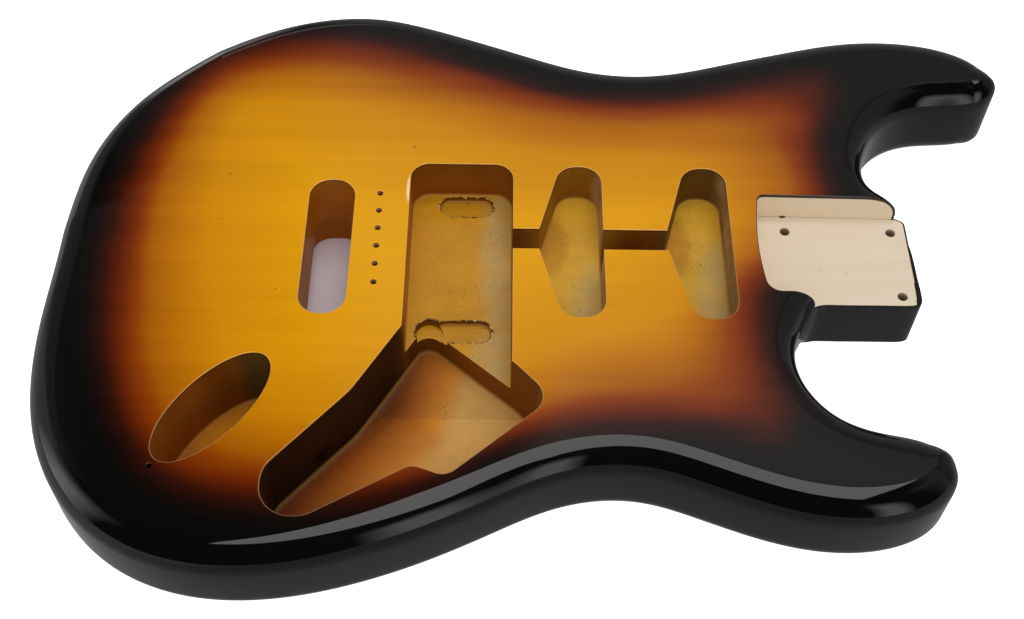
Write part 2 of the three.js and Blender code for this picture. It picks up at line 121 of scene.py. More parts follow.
# %%
tail_shares = [
    (600, 356), (539, 365), (478, 396), (417, 431), (360, 461), (313, 478), (265, 479), (217, 464.5),
    (169.5, 435.5), (124.5, 396), (83, 352.5), (47, 303), (21, 242), (5.5, 164), (1, 69), (1, -38), (0, -141),
    (6, -250), (20.5, -329), (45, -397), (77.5, -450.5), (119, -490), (167, -512.5), (215, -518.5), (269, -511),
    (326, -490.5), (383, -460), (439, -422), (488.5, -388), (539, -368.5), (585, -370), (632.5, -391),
    (685, -419), (739, -438), (787, -440), (825.5, -428), (854, -404), (867, -372.5), (863.5, -342.5),
    (841, -317), (802, -303), (768.5, -282.5), (745.5, -246), (734.5, -200), (736.5, -160), (747, -124),
]
heel_shares = [
    (0.297, -1.205), (0.342, -1.047), (0.394, -1.004), (0.46, -1), (0.66, -1), (0.87, -1), (0.94, -0.99),
    (0.984, -0.937), (1, -0.78), (0.998, -0.4), (0.996, 0), (0.985, 0.45), (0.947, 0.87), (0.885, 1.25),
]
horn_shares = [
    (837.5, 124.5), (832, 157), (837.5, 196), (852, 239.5), (875, 273), (906, 293.5), (939.5, 299.5),
    (969, 304.5), (988, 316.5), (997, 336.5), (994.5, 363), (980, 394), (953.5, 419), (917.5, 435), (874, 441),
    (820, 434), (761, 413), (700, 388), (648, 366.5),
]


def smooth_loop(marks, steps):
    """Closed cubic spline, C2 at its marks. The slopes m solve, with chord lengths a before and b after,
    2(a + b) m[i] + b m[i-1] + a m[i+1] = 3 b d[i-1] + 3 a d[i], d being the unit chords."""
    marks = np.asarray(marks, float)
    count = len(marks)
    chord = np.roll(marks, -1, 0) - marks
    after = np.linalg.norm(chord, axis=1)
    before = np.roll(after, 1)
    unit = chord / after[:, None]
    i = np.arange(count)
    system = np.zeros((count, count))
    system[i, i] = 2 * (before + after)
    system[i, i - 1] = after
    system[i, (i + 1) % count] = before
    slope = np.linalg.solve(system, 3 * after[:, None] * np.roll(unit, 1, 0) + 3 * before[:, None] * unit)
    reach = after[:, None] / 3
    a, b, c, d = marks, marks + slope * reach, np.roll(marks, -1, 0), np.roll(slope, -1, 0)
    c, d = c - d * reach, c
    t = (np.arange(steps) / steps)[None, :, None]
    a, b, c, d = (p[:, None] for p in (a, b, c, d))
    points = (1 - t) ** 3 * a + 3 * (1 - t) ** 2 * t * b + 3 * (1 - t) * t**2 * c + t**3 * d
    return points.reshape(-1, 2)


def outward_normals(loop):
    """Unit normals (t.y, -t.x) of a loop that turns left, t running from the point before to the one after."""
    tangent = np.roll(loop, -1, 0) - np.roll(loop, 1, 0)
    normal = np.stack([tangent[:, 1], -tangent[:, 0]], 1)
    return normal / np.linalg.norm(normal, axis=1)[:, None]


on_body = np.array([body_length, body_width]) / 1000
heel_marks = np.array(heel_shares) * (pocket_length, heel_treble_side) + (pocket_wall, 0)
outline = smooth_loop(np.vstack([tail_shares * on_body, heel_marks, horn_shares * on_body]), 12)
outline_normals = outward_normals(outline)
print("outline points:", len(outline))

# %% [markdown]
# ## Contours and edge radius
# The forearm contour is a shallow cone in the top, and the waist contour a tilted drum pressed into the back.
# The back's edge is nearly square round the heel. The radius shrinks where the outline turns tightly.

# %%
def top_height(p):
    """thickness - max(R - distance to the cone's axis, 0) tan(slope)"""
    away = np.hypot(p[:, 0] - forearm_axis[0], p[:, 1] - forearm_axis[1])
    return thickness - np.maximum(forearm_radius - away, 0) * forearm_slope


def back_height(p):
    """max((y - y0) tan(tilt) - (R - sqrt(R^2 - (x - x0)^2)) / cos(tilt), 0)"""
    side = np.minimum(np.abs(p[:, 0] - drum_x), drum_radius)
    drop = drum_radius - np.sqrt(drum_radius**2 - side**2)
    rise = (p[:, 1] - drum_run_out) * math.tan(drum_tilt)
    return np.maximum(rise - drop / math.cos(drum_tilt), 0)


def smoothstep(x, low, high):
    """3t^2 - 2t^3 with t = (x - low) / (high - low), held to 0..1"""
    t = np.clip((x - low) / (high - low), 0, 1)
    return t * t * (3 - 2 * t)


def heel_squareness(p):
    """1 along the heel's treble side and end, 0 elsewhere, fading into both cutaways."""
    along, across = (p[:, 0] - pocket_wall) / pocket_length, p[:, 1] / heel_treble_side
    return (across >= -1.3) * smoothstep(along, 0.26, 0.36) * (1 - smoothstep(across, 1.1, 1.6))


def eased_radii(loop, normals, wanted):
    """Radius at each point i, s being the way along the loop. The smallest ball that touches the loop at i from
    inside and passes through a j has b = |d|^2 / (2 n.d), d = p[i] - p[j]. The room there is the mean near i of
    min over j of (0.9 b[j] + 0.35 s(i, j)), and the radius min over j of (min(wanted, room)[j] + 2 s(i, j))."""
    apart = loop[:, None] - loop[None, :]
    inward = (apart * normals[:, None]).sum(2)
    ball = np.where(inward > 1e-6, (apart**2).sum(2) / np.maximum(2 * inward, 1e-9), 1e9).min(1)
    place = np.concatenate([[0], np.cumsum(np.linalg.norm(np.roll(loop, -1, 0) - loop, axis=1))])
    gap = np.abs(place[:-1, None] - place[None, :-1])
    gap = np.minimum(gap, place[-1] - gap)
    room = (0.9 * ball[None, :] + 0.35 * gap).min(1)
    near = np.maximum(1 - gap / 5, 0)
    room = (near * room).sum(1) / near.sum(1)
    return (np.minimum(wanted, room)[None, :] + 2 * gap).min(1)


top_radii = eased_radii(outline, outline_normals, np.full(len(outline), edge_radius))
square = heel_squareness(outline)
back_radii = eased_radii(outline, outline_normals, edge_radius + (heel_edge_radius - edge_radius) * square)
print("edge radii, mm:", top_radii.min().round(2), back_radii.min().round(2))

# %% [markdown]
# ## Mesh tools
# Solids are stacks of rings of equally many points. A lid closes each end: a triangulation of the end ring
# with a grid of points inside it, so that colours can be kept at its points.

# %%
batch = 4000


def inside(loop, p):
    """Even-odd rule: whether a ray from each point towards +x crosses the loop an odd number of times."""
    a, b = loop, np.roll(loop, -1, 0)
    odd = np.zeros(len(p), bool)
    for start in range(0, len(p), batch):
        x, y = p[start:start + batch, :1], p[start:start + batch, 1:]
        spans = (a[:, 1] > y) != (b[:, 1] > y)
        with np.errstate(divide="ignore", invalid="ignore"):
            cross = a[:, 0] + (y - a[:, 1]) * (b[:, 0] - a[:, 0]) / (b[:, 1] - a[:, 1])
        odd[start:start + batch] = (spans & (x < cross)).sum(1) % 2 == 1
    return odd


def distance(loop, p, closed=True):
    """Shortest distance from each point to the sides of a loop, or of an open line if not closed."""
    a = loop if closed else loop[:-1]
    b = np.roll(loop, -1, 0) if closed else loop[1:]
    step = b - a
    found = np.full(len(p), 1e9)
    for start in range(0, len(p), batch):
        q = p[start:start + batch, None, :] - a
        t = np.clip((q * step).sum(2) / np.maximum((step**2).sum(1), 1e-12), 0, 1)
        found[start:start + batch] = np.linalg.norm(q - t[..., None] * step, axis=2).min(1)
    return found


def lid(loop, spacing=None, extra=None):
    """Delaunay triangles inside the loop. Its own points come first, then a staggered grid and the extras."""
    points = loop
    if spacing:
        low, high = loop.min(0), loop.max(0)
        rows = np.arange(low[1], high[1], spacing * 0.866)
        columns = np.arange(low[0], high[0], spacing)
        x, y = np.meshgrid(columns, rows)
        x = x + (np.arange(len(rows)) % 2)[:, None] * spacing / 2
        grid = np.stack([x.ravel(), y.ravel()], 1)
        if extra is not None:
            grid = grid[distance(extra, grid, False) > spacing * 0.55]
            grid = np.vstack([grid, extra])
        keep = inside(loop, grid)
        keep[keep] = distance(loop, grid[keep]) > spacing * 0.45
        points = np.vstack([loop, grid[keep]])
    made = delaunay_2d_cdt(points.tolist(), [], [list(range(len(loop)))], 1, 1e-6)
    assert len(made[0]) == len(points), (len(made[0]), len(points))
    return points, np.array(made[2])


def stack(rings, bottom, top):
    """Closed mesh from rings, lowest first, each (n, 3). bottom and top are the lids: (heights, points, faces)."""
    n, levels = len(rings[0]), len(rings)
    i = np.arange(n)
    j = (i + 1) % n
    sides = [np.stack([k * n + i, k * n + j, (k + 1) * n + j, (k + 1) * n + i], 1) for k in range(levels - 1)]
    points, start = [np.vstack(rings)], n * levels
    lids = []
    for (height, place, faces), ring_start in ((bottom, 0), (top, n * (levels - 1))):
        own = np.where(faces < n, faces + ring_start, faces - n + start)
        lids.append(own[:, ::-1] if ring_start == 0 else own)
        more = place[n:]
        points.append(np.column_stack([more, height(more)]))
        start += len(more)
    return np.vstack(points), np.vstack(sides), lids


def mesh_object(name, points, face_sets):
    """Mesh object from points in millimetres, with the materials in slots, which are made below. face_sets is a
    list of (faces, material slot number)."""
    corners = np.concatenate([f.ravel() for f, _ in face_sets])
    sizes = np.concatenate([np.full(len(f), f.shape[1]) for f, _ in face_sets])
    mesh = bpy.data.meshes.new(name)
    mesh.vertices.add(len(points))
    mesh.vertices.foreach_set("co", np.asarray(points, np.float32).ravel())
    mesh.loops.add(len(corners))
    mesh.loops.foreach_set("vertex_index", corners.astype(np.int32))
    mesh.polygons.add(len(sizes))
    mesh.polygons.foreach_set("loop_start", np.concatenate([[0], np.cumsum(sizes)[:-1]]).astype(np.int32))
    for finish in slots:
        mesh.materials.append(finish)
    numbers = np.concatenate([np.full(len(f), number) for f, number in face_sets])
    mesh.polygons.foreach_set("material_index", numbers.astype(np.int32))
    mesh.update(calc_edges=True)
    mesh.validate()
    return placed(name, mesh)


def carve(target, cutter, operation="DIFFERENCE"):
    """target minus cutter, or the part they share, or both together. The cutter is used up."""
    step = target.modifiers.new("carve", "BOOLEAN")
    step.solver, step.operation, step.object = "MANIFOLD", operation, cutter
    step.material_mode = "INDEX"
    made = bpy.data.meshes.new_from_object(target.evaluated_get(bpy.context.evaluated_depsgraph_get()))
    target.modifiers.clear()
    old, target.data = target.data, made
    bpy.data.meshes.remove(old)
    bpy.data.objects.remove(cutter)
    return target


print("mesh tools ready")

# %% [markdown]
# ## Materials: shared node tools
# Names for the node trees, and the groups that more than one material uses.

# %%
def linear(color):
    """A colour of four numbers as it is. One of three is an 8-bit display colour, made linear by
    ((c + 0.055) / 1.055)^2.4, or c / 12.92 near black."""
    if len(color) == 4:
        return color
    c = np.array(color) / 255
    return (*np.where(c > 0.04045, ((c + 0.055) / 1.055) ** 2.4, c / 12.92), 1.0)


class Nodes:
    """Short names for building a node tree. An input goes by name or number, and is a link or a value."""

    def __init__(self, tree):
        self.tree = tree

    def new(self, kind, inputs=None, **settings):
        node = self.tree.nodes.new(kind)
        for name, value in settings.items():
            setattr(node, name, value)
        for name, value in (inputs or {}).items():
            socket = node.inputs[name]
            if isinstance(value, bpy.types.NodeSocket):
                self.tree.links.new(value, socket)
            else:
                socket.default_value = linear(value) if socket.type == "RGBA" else value
        return node

    def group(self, tree, inputs=None):
        return self.new("ShaderNodeGroup", inputs, node_tree=tree).outputs

    def attribute(self, name):
        return self.new("ShaderNodeAttribute", attribute_name=name).outputs["Fac"]

    def place(self):
        return self.new("ShaderNodeTexCoord").outputs["Object"]

    def split(self, vector):
        return self.new("ShaderNodeSeparateXYZ", {0: vector}).outputs

    def math(self, operation, *values, clamp=False):
        return self.new("ShaderNodeMath", dict(enumerate(values)), operation=operation, use_clamp=clamp).outputs[0]

    def times(self, product, *values):
        for value in values:
            product = self.math("MULTIPLY", product, value)
        return product

    def most(self, values):
        """The greatest of some numbers, or 0 if none is greater."""
        found = 0.0
        for value in values:
            found = self.math("MAXIMUM", found, value)
        return found

    def span(self, value, low, high, to_low=0.0, to_high=1.0, kind="LINEAR"):
        inputs = {"Value": value, "From Min": low, "From Max": high, "To Min": to_low, "To Max": to_high}
        return self.new("ShaderNodeMapRange", inputs, interpolation_type=kind).outputs[0]

    def fall(self, value, low, high, kind="LINEAR"):
        return self.span(value, low, high, 1.0, 0.0, kind)

    def noise(self, place, scale, detail=2.0, roughness=0.5, stretch=(1, 1, 1), offset=(0, 0, 0)):
        mapping = self.new("ShaderNodeMapping", {"Vector": place, "Location": offset, "Scale": stretch})
        inputs = {"Vector": mapping.outputs[0], "Scale": scale, "Detail": detail, "Roughness": roughness}
        return self.new("ShaderNodeTexNoise", inputs).outputs["Fac"]

    def mix(self, share, a, b, blend="MIX"):
        return self.new("ShaderNodeMix", {0: share, 6: a, 7: b}, data_type="RGBA", blend_type=blend).outputs[2]

    def gray(self, value):
        return self.new("ShaderNodeCombineColor", {"Red": value, "Green": value, "Blue": value}).outputs[0]

    def shade(self, color, tone):
        """A colour times a number."""
        return self.mix(1.0, color, self.gray(tone), "MULTIPLY")

    def ramp(self, value, stops):
        node = self.new("ShaderNodeValToRGB", {"Fac": value})
        elements = node.color_ramp.elements
        while len(elements) < len(stops):
            elements.new(0.5)
        for element, (place, color) in zip(elements, stops):
            element.position, element.color = place, linear(color)
        return node.outputs["Color"]


def material(name):
    """Empty material and its node tree, to be closed with finished()."""
    made = bpy.data.materials.new(name)
    made.use_nodes = True
    made.node_tree.nodes.clear()
    return made, Nodes(made.node_tree)


def finished(made, n, shader):
    n.new("ShaderNodeOutputMaterial", {"Surface": shader.outputs[0]})
    return made


def node_group(name, given, made):
    """Empty shader group with the named inputs, plain numbers, and outputs: (name, socket type)."""
    tree = bpy.data.node_groups.new(name, "ShaderNodeTree")
    for socket in given:
        tree.interface.new_socket(socket, in_out="INPUT", socket_type="NodeSocketFloat")
    for socket, kind in made:
        tree.interface.new_socket(socket, in_out="OUTPUT", socket_type="NodeSocket" + kind)
    return tree, Nodes(tree)


def grain_group():
    """Basswood grain along x: fine fibres and broad figure, both 0..1, set apart from board to board."""
    tree, n = node_group("wood grain", [], [("Fibre", "Float"), ("Figure", "Float"), ("Board", "Float")])
    place, board = n.place(), n.attribute("board")
    offset = n.new("ShaderNodeCombineXYZ", {"X": board, "Y": board}).outputs[0]
    fibre = n.noise(place, 1.0, 4.0, 0.6, (16, 1100, 1100), offset)
    figure = n.noise(place, 1.0, 3.0, 0.55, (3.5, 75, 75), offset)
    n.new("NodeGroupOutput", {"Fibre": fibre, "Figure": figure, "Board": board})
    return tree


def from_centre(n, given):
    """Ways in x and y from the centre given to a group."""
    place = n.split(n.place())
    return [n.math("SUBTRACT", place[axis], given["At " + axis]) for axis in "XY"]


def length(n, x, y):
    """sqrt(x^2 + y^2)"""
    return n.math("SQRT", n.math("ADD", n.times(x, x), n.times(y, y)))


def spot_group():
    """1 in an ellipse of the plan, from 55% of the way to its edge falling to 0 there."""
    tree, n = node_group("soft spot", ["At X", "At Y", "Half X", "Half Y"], [("Mask", "Float")])
    given = n.new("NodeGroupInput").outputs
    x, y = from_centre(n, given)
    far = length(n, n.math("DIVIDE", x, given["Half X"]), n.math("DIVIDE", y, given["Half Y"]))
    n.new("NodeGroupOutput", {"Mask": n.fall(far, 0.55, 1.0, "SMOOTHSTEP")})
    return tree


def slot_edge_group():
    """Distance in the plan from the outline of a slot: |sqrt(max(|x| - half, 0)^2 + y^2) - radius|."""
    tree, n = node_group("slot edge", ["At X", "At Y", "Half X", "Radius"], [("Away", "Float")])
    given = n.new("NodeGroupInput").outputs
    x, y = from_centre(n, given)
    x = n.math("MAXIMUM", n.math("SUBTRACT", n.math("ABSOLUTE", x), given["Half X"]), 0.0)
    away = n.math("ABSOLUTE", n.math("SUBTRACT", length(n, x, y), given["Radius"]))
    n.new("NodeGroupOutput", {"Away": away})
    return tree


def burst_group():
    """Colour of the burst at the level kept on the mesh, with the wood's figure and each board's own tone."""
    tree, n = node_group("burst colour", [], [("Color", "Color")])
    wood = n.group(grain)
    level = n.math("ADD", n.attribute("burst"), n.span(wood["Figure"], 0.3, 0.7, -0.1, 0.1))
    color = n.ramp(n.span(level, -2.0, 5.0), [
        (0.0, (5, 5, 6)), (0.17, (7, 6, 6)), (0.23, (22, 8, 5)), (0.286, (47, 13, 4)), (0.36, (85, 26, 2)),
        (0.43, (114, 40, 1)), (0.50, (142, 62, 1)), (0.571, (166, 91, 2)), (0.64, (190, 116, 3)),
        (0.714, (207, 136, 4)), (0.857, (224, 155, 5)), (1.0, (230, 163, 8))])
    other_board = n.math("ABSOLUTE", n.math("SUBTRACT", wood["Board"], board_shifts["centre_board"]))
    tone = n.times(n.span(wood["Fibre"], 0.35, 0.65, 0.975, 1.02), n.span(wood["Figure"], 0.3, 0.7, 0.97, 1.03),
                   n.span(other_board, 0, 5, 1.0, 0.965))
    n.new("NodeGroupOutput", {"Color": n.shade(color, tone)})
    return tree


board_shifts = {"treble_board": 3.7, "centre_board": 11.3, "bass_board": 23.9}
grain = grain_group()
soft_spot, slot_edge, burst_color = spot_group(), slot_edge_group(), burst_group()
print("node groups:", [g.name for g in bpy.data.node_groups])

# %% [markdown]
# ## Materials: burst lacquer and its edges

# %%
def at(x, y):
    """Centre for a node group, given in millimetres from the tail and the string line."""
    return {"At X": (x - middle[0]) / 1000, "At Y": (y - middle[1]) / 1000}


def spot(n, x, y, half_x, half_y):
    """Mask of a soft spot given in millimetres from the tail and the string line."""
    return n.group(soft_spot, {**at(x, y), "Half X": half_x / 1000, "Half Y": half_y / 1000})[0]


def gloss(n, color):
    """Clear gloss lacquer over a colour."""
    return n.new("ShaderNodeBsdfPrincipled", {
        "Base Color": color, "Roughness": 0.5, "Specular IOR Level": 0.0,
        "Coat Weight": 1.0, "Coat Roughness": 0.025, "Coat IOR": 1.5,
    })


def burst_lacquer():
    """The burst, with a pale painted highlight beside the bridge rout and a few dark specks under the gloss."""
    made, n = material("burst_lacquer")
    color = n.group(burst_color)[0]
    # painted highlight: a pale glare beside the bridge rout
    color = n.mix(n.times(spot(n, bridge_start - 0.4, 29.0, 1.7, 10.0), 0.8), color, (250, 226, 170))
    for x, y, size in ((163.6, 56.0, 0.8), (76.6, 37.0, 0.6), (76.0, 9.5, 0.45), (105.0, -31.0, 0.5)):
        color = n.mix(n.times(spot(n, x, y, 1.3 * size, size), 0.7), color, (120, 66, 12))
    return finished(made, n, gloss(n, color))


def lacquer_rim():
    """The rolled lip of a rout, its burst colour mixed towards pale peach as a painted highlight along the lip."""
    made, n = material("lacquer_rim")
    # painted highlight: the burst mixed towards pale peach on the lip
    return finished(made, n, gloss(n, n.mix(0.3, n.group(burst_color)[0], (240, 190, 120))))


def dark_lacquer():
    """Dark lacquer on the masked edge of the neck pocket, and the same dark colour in a narrow band under the lips
    of the routs.
    """
    made, n = material("dark_lacquer")
    color = n.ramp(n.group(grain)["Figure"], [(0.35, (14, 11, 9)), (0.7, (40, 24, 12))])
    return finished(made, n, gloss(n, color))


print("lacquers ready")

# %% [markdown]
# ## Materials: sealed cavities
# Brown walls and amber floors, redder where the burst was sprayed in, with grit and torn fibres, and with painted
# shade, sheen and highlights. The colours depend on the place, the way the face looks, the burst level and a few
# noises, all kept in one set.

# %%
wall_point, wall_across = (108.9, -122.9), (0.753, -0.658)


def wall_distances(n, plan):
    """Distances from the control cavity's long wall and along it: the products of the place, less a point of the
    wall, with the unit vectors (a, b) across it and (-b, a) along it."""
    a, b = wall_across
    for u, v in ((a, b), (-b, a)):
        shift = (u * (middle[0] - wall_point[0]) + v * (middle[1] - wall_point[1])) / 1000
        yield n.math("ADD", n.math("ADD", n.times(plan["X"], u), n.times(plan["Y"], v)), shift)


def cavity_inputs(n):
    place, facing = n.place(), n.split(n.new("ShaderNodeNewGeometry").outputs["Normal"])
    plan = n.split(place)
    from_wall, along_wall = wall_distances(n, plan)
    return SimpleNamespace(
        place=place, plan=plan, height=plan["Z"], up=facing["Z"], right=facing["X"], from_wall=from_wall,
        along_wall=along_wall, wood=n.group(grain), level=n.span(n.attribute("burst"), 0.0, 4.0),
        blotch=n.noise(place, 34, 4.0, 0.6, (1, 1.5, 1)), shallow=n.span(plan["Z"], 0.009, 0.012),
        channel=n.span(plan["Z"], 0.0235, 0.0245))


def along(n, s, start, end):
    """Share of the way in x from one place to another, both in millimetres from the tail."""
    return n.span(s.plan["X"], (start - middle[0]) / 1000, (end - middle[0]) / 1000)


def cavity_floors(n, s):
    """Deep floors by their distance from the control cavity's long wall, darkest along it as painted shade, in two
    tones that meet at a glue line. Shallow floors paler towards the neck, with an amber tail end. The channel's
    floor painted as dark as a wall, a painted shade."""
    bent = n.times(n.math("MAXIMUM", n.math("SUBTRACT", s.along_wall, 0.072), 0.0), 0.5)
    # painted shade: the deep floors darkest in a band along the control cavity's long wall
    deep = n.ramp(n.span(n.math("ADD", s.from_wall, bent), -0.025, 0.04), [
        (0.2, (206, 134, 24)), (0.3, (112, 52, 6)), (0.385, (118, 56, 6)), (0.46, (132, 64, 6)),
        (0.63, (184, 104, 20)), (0.785, (216, 138, 44)), (0.94, (226, 172, 92))])
    deep = n.shade(deep, n.span(s.wood["Board"], 5, 10, 1.0, 0.86))
    shallow = n.mix(along(n, s, bridge_end, bridge_end + 12), (204, 144, 26), (228, 174, 48))
    # painted shade: the channel's floor as dark as a wall
    floors = n.mix(s.channel, n.mix(s.shallow, deep, shallow), (96, 54, 20))
    amber = n.most(spot(n, end - 26, 14, 13, 24) for end in (middle_end, neck_end))
    floors = n.mix(n.times(amber, s.shallow, 0.7), floors, (200, 134, 14))
    near_edge = n.ramp(s.level, [(0.0, (120, 84, 70)), (0.3, (196, 170, 160)), (0.55, (240, 232, 225)),
                                 (0.8, (255, 255, 255))])
    floors = n.mix(1.0, floors, near_edge, "MULTIPLY")
    for reach, tint in (((0.42, 0.66, 0, 0.5), (214, 212, 214)), ((0.28, 0.44, 0.4, 0), (252, 216, 170))):
        floors = n.mix(n.span(s.blotch, *reach), floors, n.mix(1.0, floors, tint, "MULTIPLY"))
    return floors


def cavity_walls(n, s):
    """Walls by the burst level, in painted shadow along the control cavity, tinted rout by rout, the bridge rout's
    wall that faces the neck painted lighter as painted light, with a painted sheen where they face the tail, and
    painted shade darker towards their top."""
    walls = n.ramp(s.level, [(0.0, (66, 30, 8)), (0.4, (122, 60, 12)), (0.8, (138, 76, 12)), (1.0, (142, 80, 14))])
    shadow = n.times(n.span(s.from_wall, -0.025, -0.018), n.fall(s.from_wall, 0.002, 0.012),
                     n.span(s.along_wall, 0.08, 0.11, 1.0, 0.3))
    walls = n.mix(shadow, walls, (46, 22, 8))
    # spots rout by rout; the one at bridge_start is painted light on the wall that faces the neck
    for x, y, half_x, half_y, color in (
            (screws_x - 22.5, -5, 24, 90, (184, 108, 18)), (jack[0] - 21, jack[1] - 15, 34, 44, (160, 86, 22)),
            (jack[0] + 20, jack[1] + 24, 16, 16, (100, 72, 30)), (middle_end - 14, 0, 26, 90, (154, 104, 24)),
            (neck_end - 14, 0, 26, 90, (112, 76, 28)), (bridge_start, -5, 4, 50, (186, 112, 24))):
        walls = n.mix(spot(n, x, y, half_x, half_y), walls, color)
    # painted sheen on the walls that face the tail
    to_tail = n.times(n.fall(s.right, -0.9, -0.5), along(n, s, bridge_end + 10, bridge_end + 20))
    walls = n.mix(n.times(to_tail, n.span(s.blotch, 0.35, 0.6, 0.5, 1.0)), walls, (188, 144, 98))
    # painted shade: walls darker towards their top, with a blotchy tone
    tone = n.times(n.span(s.height, 0.032, 0.0445, 1.0, 0.72), n.span(s.blotch, 0.3, 0.7, 0.82, 1.18))
    return n.shade(walls, tone)


def cavity_marks(n, s, color):
    """A painted highlight along the fillets, a pale painted sheen on the shallow floors, and patches of dark grit.
    """
    # painted highlight: a tan line along the fillets, where they catch the light
    fillet = n.times(n.span(s.up, 0.2, 0.6), n.fall(s.up, 0.75, 0.98))
    color = n.mix(n.times(fillet, 0.3), color, (206, 160, 84))
    # painted sheen: pale cloudy spots near the neck end of the shallow floors
    painted_sheen = n.most(spot(n, *where) for where in (
        (bridge_end - 2, 4, 17, 64), (middle_end - 2, -24, 16, 34), (neck_end - 2, -20, 15, 46),
        (bridge_end - 4, -62, 20, 34)))
    cloudy = n.span(n.noise(s.place, 90, 4.0, 0.65), 0.3, 0.62, 0.25, 0.6)
    open_floor = n.times(s.shallow, n.math("SUBTRACT", 1.0, s.channel), n.span(s.up, 0.9, 0.99))
    color = n.mix(n.times(painted_sheen, cloudy, open_floor), color, (182, 162, 112))
    grit = n.times(n.span(n.noise(s.place, 900), 0.66, 0.7), n.span(n.noise(s.place, 50), 0.5, 0.62))
    return n.mix(n.times(grit, 0.8), color, (60, 32, 10))


def torn_slots(n, s, color):
    """Dark torn fibres with pale burrs within a ragged distance of the slots' outlines, near the floor."""
    ragged = n.span(n.noise(s.place, 700, 4.0, 0.75, (0.6, 1, 0.3)), 0.42, 0.78, -0.0003, 0.0019)
    centre, half, radius = (slot_start + slot_end) / 2, (slot_length - slot_width) / 2, slot_width / 2
    aways = [n.group(slot_edge, {**at(x, y), "Half X": straight / 1000, "Radius": around / 1000})[0]
             for x, y, straight, around in (
                 (centre, slot_across, half, radius), (centre, -slot_across, half, radius),
                 (*lead_hole, 0, lead_radius))]
    torn = n.most(n.fall(n.math("SUBTRACT", away, ragged), 0.0, 0.0003) for away in aways)
    off_floor = n.math("ABSOLUTE", n.math("SUBTRACT", s.height, pickup_floor / 1000))
    burr = n.span(n.noise(s.place, 420, 2.0, 0.5, (1, 1, 0.2)), 0.56, 0.6)
    torn = n.times(torn, n.fall(off_floor, 0.0004, 0.0008), 0.95)
    return n.mix(torn, color, n.mix(burr, (44, 22, 8), (226, 190, 140)))


def sealed_cavity():
    """Floors and walls by the way each face looks, under a thin sealer that shines only on the floors."""
    made, n = material("sealed_cavity")
    s = cavity_inputs(n)
    color = n.mix(n.span(s.up, 0.5, 0.95), cavity_walls(n, s), cavity_floors(n, s))
    color = torn_slots(n, s, cavity_marks(n, s, color))
    color = n.shade(color, n.span(s.wood["Fibre"], 0.35, 0.65, 0.965, 1.025))
    rough = n.noise(s.place, 260, 3.0, 0.6)
    bump = n.new("ShaderNodeBump", {"Height": rough, "Strength": 0.25, "Distance": 0.0004})
    coat = n.times(n.span(s.up, 0.93, 0.99, 0.2, 1.0), n.span(s.height, 0.009, 0.012, 0.22, 0.7))
    return finished(made, n, n.new("ShaderNodeBsdfPrincipled", {
        "Base Color": color, "Roughness": 0.6, "Specular IOR Level": 0.1, "Normal": bump.outputs[0],
        "Coat Weight": coat, "Coat Roughness": 0.2, "Coat IOR": 1.5,
    }))


print("cavity colours ready")

# %% [markdown]
# ## Materials: bare wood

# %%
def bare_wood():
    """Pale unsealed basswood, its upright faces painted lighter as painted light, darker and browner deeper in the
    screw holes and in a fine line along the foot of the wall, both painted shade.
    """
    made, n = material("bare_wood")
    wood, place = n.group(grain), n.place()
    height = n.split(place)["Z"]
    up = n.split(n.new("ShaderNodeNewGeometry").outputs["Normal"])["Z"]
    color = n.ramp(wood["Figure"], [(0.25, (217, 198, 174)), (0.75, (226, 209, 188))])
    color = n.mix(n.span(n.noise(place, 55, 3.0, 0.6, (0.5, 1, 1)), 0.55, 0.75, 0, 0.2), color, (208, 184, 152))
    # painted light: upright faces lighter
    color = n.mix(n.span(up, 0.0, 0.8, 0.6, 0.0), color, (240, 222, 190))
    stain = n.most((spot(n, pocket_wall + 42, -6, 1.6, 0.7), spot(n, pocket_wall + 30, -4, 1.1, 0.4)))
    color = n.mix(n.times(stain, 0.25), color, (140, 112, 84))
    chip = n.times(spot(n, pocket_wall + 15.8, wall_half, 1.9, 1.0), n.fall(height, 0.0292, 0.0296))
    color = n.mix(chip, color, (70, 42, 26))
    # painted shade: a fine dark line along the foot of the wall
    foot = n.times(n.fall(up, 0.2, 0.5), n.span(height, 0.0288, 0.0291, 0.35, 0.0))
    color = n.mix(foot, color, (110, 84, 60))
    # painted shade: darker and browner deeper in the screw holes
    color = n.mix(n.span(height, 0.026, 0.0284, 0.55, 0.0), color, (60, 38, 26))
    color = n.shade(color, n.span(wood["Fibre"], 0.35, 0.65, 0.985, 1.01))
    bump = n.new("ShaderNodeBump", {"Height": wood["Fibre"], "Strength": 0.1, "Distance": 0.0002})
    return finished(made, n, n.new("ShaderNodeBsdfPrincipled", {
        "Base Color": color, "Roughness": 0.72, "Specular IOR Level": 0.25, "Normal": bump.outputs[0],
    }))


LACQUER, SEALED, BARE, RIM, DARK = range(5)
slots = [burst_lacquer(), sealed_cavity(), bare_wood(), lacquer_rim(), dark_lacquer()]
print("materials:", [m.name for m in slots])

# %% [markdown]
# ## Blank
# The outline set in ring by ring round both edges, with a lid over the top and one over the back.

# %%
edge_steps = 12
quarter = [(1 - math.cos(a), 1 - math.sin(a)) for a in np.linspace(0, math.pi / 2, edge_steps + 1)]


def set_in(inset, height, rise):
    """Ring of the outline moved inwards, at height(p) + rise."""
    p = outline - outline_normals * inset[:, None]
    return np.column_stack([p, height(p) + rise])


